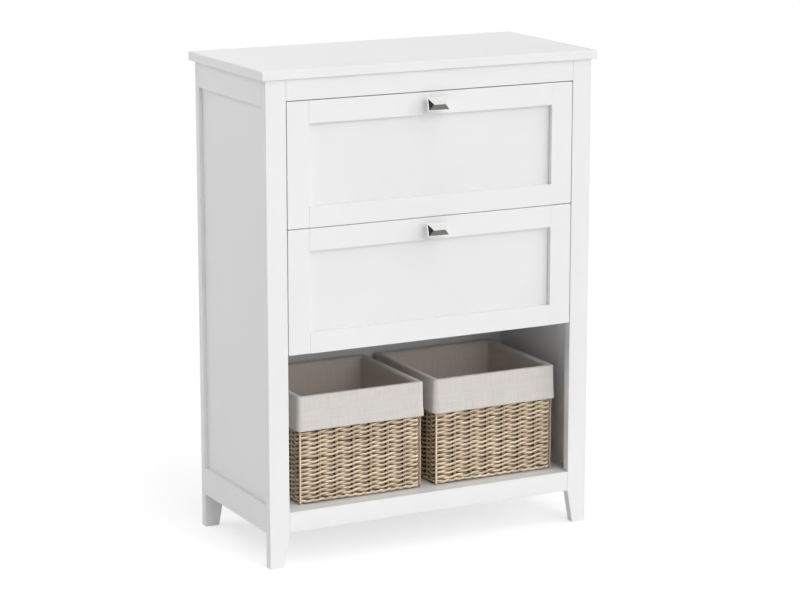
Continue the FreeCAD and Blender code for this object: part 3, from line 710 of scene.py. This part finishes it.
def cloth_piece(side, rows, tones, along):
    """The rows of points joined into a sheet of cloth with its real thickness."""
    around = len(rows[0])
    here = np.arange(around)
    there = (here + 1) % around
    drops = [np.linalg.norm(lower - upper, axis=1).mean() for upper, lower in zip(rows, rows[1:])]
    down = np.concatenate([[0], np.cumsum(drops)])
    faces, uvs = [], []
    for row in range(len(rows) - 1):
        first, second = row * around, (row + 1) * around
        faces.append(np.stack([first + here, first + there, second + there, second + here], axis=1))
        uvs.append(strip_uvs(along[here], along[here + 1], down[row], down[row + 1]))
    piece = new_piece(f"{side}_basket_cloth", np.concatenate(rows).tolist(),
                      np.concatenate(faces).tolist(), "linen", f"{side}_basket",
                      np.concatenate(uvs).reshape(-1, 2), np.repeat(np.array(tones), around, axis=0))
    body = piece.modifiers.new("cloth_thickness", "SOLIDIFY")
    body.thickness = CLOTH
    body.offset = 0
    return piece


SHORTEST_STITCH = 0.002
STITCH_ALONG, STITCH_OUT = (0.1, 0.3, 0.7, 0.9), (0.0004, 0.0009, 0.0009, 0.0004)
STITCH_THICK, STITCH_HIGH = 0.0002, 0.0003


def hem_stitches(side, hem_row):
    """Running stitches along the upper edge of the hem."""
    stitches = Strands()
    for index, start in enumerate(hem_row):
        run = hem_row[(index + 1) % len(hem_row)] - start
        if index % 2 or np.linalg.norm(run) < SHORTEST_STITCH:
            continue
        direction = run / np.linalg.norm(run)
        outward = np.array([direction[1], -direction[0], 0.0])
        line = np.array([start + run * share + outward * out
                         for share, out in zip(STITCH_ALONG, STITCH_OUT)])
        stitches.tube(line, np.repeat(outward[None], len(line), axis=0), upright(len(line)),
                      STITCH_THICK, STITCH_HIGH, 1.0)
    return stitches.piece(f"{side}_hem_stitches", "linen", f"{side}_basket")


def make_liner(side):
    """A linen liner: loose inside the basket, turned over the rim as a cuff with a stitched hem."""
    low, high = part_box(f"{side}_basket_weave")
    outline = Outline(low, high)
    floor = low[2] + BASKET_FLOOR + CLOTH_MIDDLE
    limits = (WAVE_RATES, WAVE_SLOPES, WAVE_HEIGHTS, WAVE_PHASES)
    waves = [[chance.uniform(*limit) for limit in limits] for _ in range(WAVE_COUNT)]
    along = walked(outline.loop(0.0)[0])
    rows, tones = liner_rows(outline, floor, high[2], along[:-1], waves)
    piece = cloth_piece(side, rows, tones, along)
    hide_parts(f"{side}_basket_liner")
    hem_rows = int(round(HEM / (CUFF - RIM_ROUND) * (CUFF_ROWS - 1)))
    thread = hem_stitches(side, rows[-1 - hem_rows])


for side, _ in SIDES:
    make_weave(side)
    make_liner(side)


# Slide screws

HEAD_RINGS = ((0.0030, 0.0), (0.0030, 0.0004), (0.0024, 0.0008), (0.0012, 0.0010))
HEAD_SIDES = 16
CROSS_DIP = 0.0006
SCREW_INSET, SCREW_HEIGHT = 0.05, 0.0091
SLIDE_SHEET = 0.0012


def screw_heads(name, spots, outward, body):
    """Low pan heads with a crossed recess; outward is the way along X that they face."""
    points, faces = [], []
    last_ring = len(HEAD_RINGS) - 1
    for x, y, z in spots:
        start = len(points)
        for ring, (radius, rise) in enumerate(HEAD_RINGS):
            for step in range(HEAD_SIDES):
                angle = 2 * math.pi * step / HEAD_SIDES
                crossed = ring == last_ring and step % (HEAD_SIDES // 4) == 0
                height = rise - CROSS_DIP if crossed else rise
                points.append((x + outward * height, y + radius * math.cos(angle),
                               z + radius * math.sin(angle)))
        centre = len(points)
        points.append((x + outward * (HEAD_RINGS[last_ring][1] - CROSS_DIP), y, z))
        for step in range(HEAD_SIDES):
            other = (step + 1) % HEAD_SIDES
            for ring in range(last_ring):
                inner, outer = start + (ring + 1) * HEAD_SIDES, start + ring * HEAD_SIDES
                faces.append((outer + step, outer + other, inner + other, inner + step))
            innermost = start + last_ring * HEAD_SIDES
            faces.append((innermost + step, innermost + other, centre))
        faces.append(tuple(reversed(range(start, start + HEAD_SIDES))))
    new_piece(name, points, [face[::outward] for face in faces], "zinc", body)


for drawer in DRAWERS:
    for side, sign in SIDES:
        fixed_low, fixed_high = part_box(f"{drawer}_{side}_cabinet_rail")
        box_low, box_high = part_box(f"{drawer}_drawer_{side}_side")
        fixed_face = sign * (max(abs(fixed_low[0]), abs(fixed_high[0])) - SLIDE_SHEET)
        sliding_face = sign * (max(abs(box_low[0]), abs(box_high[0])) + SLIDE_SHEET)
        middle = fixed_low[2] + SCREW_HEIGHT
        ends = (fixed_low[1] + SCREW_INSET, fixed_high[1] - SCREW_INSET)
        screw_heads(f"{drawer}_{side}_fixed_screws", [(fixed_face, y, middle) for y in ends],
                    -sign, "carcass")
        screw_heads(f"{drawer}_{side}_sliding_screws", [(sliding_face, y, middle) for y in ends],
                    sign, f"{drawer}_drawer")


# Floor, light and camera

FLOOR_REACH = 60.0
FLOOR_GLOW = 0.56
SUN_SPREAD = math.radians(40)
WORLD_STRENGTH = 0.54
BRIGHT_WAY, BRIGHT_GAIN = (0.3, 0.0, -0.8), 0.22
DIM_WAY, DIM_LOSS = (-0.66, -0.75, 0.0), 0.36


def seen_directly(tree):
    """One for rays of the camera, of reflections and through clear things, and zero for the others."""
    path = tree.nodes.new("ShaderNodeLightPath")
    seen = arithmetic(tree, "MAXIMUM", path.outputs["Is Camera Ray"], path.outputs["Is Glossy Ray"])
    return arithmetic(tree, "MAXIMUM", seen, path.outputs["Is Transmission Ray"])


def make_card(name, corners, material):
    """A flat card of one face."""
    mesh = bpy.data.meshes.new(name)
    mesh.from_pydata(corners, [], [(0, 1, 2, 3)])
    mesh.materials.append(material)
    card = new_object(name, mesh)
    return card


def make_floor():
    """A pale floor that looks nearly white and takes a soft shadow."""
    material, tree, shader = new_material("pale_floor")
    shader.inputs["Base Color"].default_value = (0.9, 0.9, 0.9, 1)
    shader.inputs["Roughness"].default_value = 0.9
    shader.inputs["Specular IOR Level"].default_value = 0.0
    white = add(tree, "BsdfDiffuse", {"Color": (0.6, 0.6, 0.6, 1)})
    glow = add(tree, "Emission", {"Color": (1, 1, 1, 1), "Strength": FLOOR_GLOW})
    bright = add(tree, "AddShader", {})
    choice = add(tree, "MixShader", {"Fac": seen_directly(tree)})
    for start, end in ((white, bright.node.inputs[0]), (glow, bright.node.inputs[1]),
                       (shader.outputs[0], choice.node.inputs[1]), (bright, choice.node.inputs[2]),
                       (choice, tree.nodes["Material Output"].inputs["Surface"])):
        tree.links.new(start, end)
    reach = FLOOR_REACH
    make_card("floor", [(-reach, -reach, 0), (reach, -reach, 0), (reach, reach, 0), (-reach, reach, 0)],
              material)


def make_world():
    """Soft light from all round: weaker from above and the front left, stronger from the right."""
    world = bpy.data.worlds.new("studio")
    world.use_nodes = True
    tree = world.node_tree
    background = tree.nodes["Background"]
    background.inputs["Color"].default_value = (1, 1, 1, 1)
    direction = tree.nodes.new("ShaderNodeTexCoord").outputs["Generated"]
    bright_side, dim_side = (add(tree, "VectorMath", {0: direction, 1: way}, 1, operation="DOT_PRODUCT")
                             for way in (BRIGHT_WAY, DIM_WAY))
    dim = arithmetic(tree, "POWER", arithmetic(tree, "MAXIMUM", dim_side, 0.0), 2.0)
    soft = arithmetic(tree, "ADD", arithmetic(tree, "MULTIPLY", bright_side, BRIGHT_GAIN), WORLD_STRENGTH)
    soft = arithmetic(tree, "SUBTRACT", soft, arithmetic(tree, "MULTIPLY", dim, DIM_LOSS))
    strength = arithmetic(tree, "MAXIMUM", soft, seen_directly(tree))
    tree.links.new(strength, background.inputs["Strength"])
    bpy.context.scene.world = world


def make_sun(name, toward, strength):
    """A soft distant lamp; toward points from the object to the lamp."""
    lamp = bpy.data.lights.new(name, "SUN")
    lamp.energy = strength
    lamp.angle = SUN_SPREAD
    holder = new_object(name, lamp)
    x, y, z = toward
    holder.rotation_euler = (math.atan2(math.hypot(x, y), z), 0, math.atan2(x, -y))
    holder.visible_glossy = name == "key"


def make_side_lamp():
    """A weak soft box behind and to the left, for the side's slow change of tone."""
    lamp = bpy.data.lights.new("side_fill", "AREA")
    lamp.energy = 3.2
    lamp.shape = "DISK"
    lamp.size = 0.5
    holder = new_object("side_fill", lamp)
    holder.location = (-1.2, 0.7, 1.6)
    holder.rotation_euler = (math.radians(48), 0, math.radians(-128))


def make_flag(name, corners, shade):
    """A card that only reflections see, for contrast on the metal."""
    material, _, shader = new_material(name)
    shader.inputs["Base Color"].default_value = (shade, shade, shade, 1)
    shader.inputs["Roughness"].default_value = 1.0
    flag = make_card(name, corners, material)
    flag.visible_camera = False
    flag.visible_diffuse = False
    flag.visible_shadow = False
    flag.visible_transmission = False


def make_camera():
    """A long lens that looks down from the front left."""
    camera = bpy.data.cameras.new("camera")
    camera.sensor_width = 36
    camera.lens = 119.85
    camera.clip_end = 200
    holder = new_object("camera", camera)
    holder.location = (-1.9715, -3.8300, 1.3373)
    holder.rotation_euler = (math.radians(77.545), 0, math.radians(-27.332))
    bpy.context.scene.camera = holder


make_floor()
make_world()
make_sun("key", (0.82, -0.48, 0.31), 0.7)
make_sun("front_fill", (0.10, -0.91, 0.40), 1.06)
make_sun("high_front", (0.10, -0.40, 0.91), 0.48)
make_sun("left_fill", (-0.55, 0.20, 0.80), 0.40)
make_side_lamp()
make_flag("dark_flag", [(-2.2, -1.7, 0.1), (0.0, -2.9, 0.1), (0.0, -2.9, 2.9), (-2.2, -1.7, 2.9)], 0.04)
make_flag("low_flag", [(-0.3, -0.35, 0.1), (1.6, -0.35, 0.1), (1.6, -2.2, 0.1), (-0.3, -2.2, 0.1)], 0.25)
make_camera()
bpy.context.scene.view_settings.view_transform = "Standard"
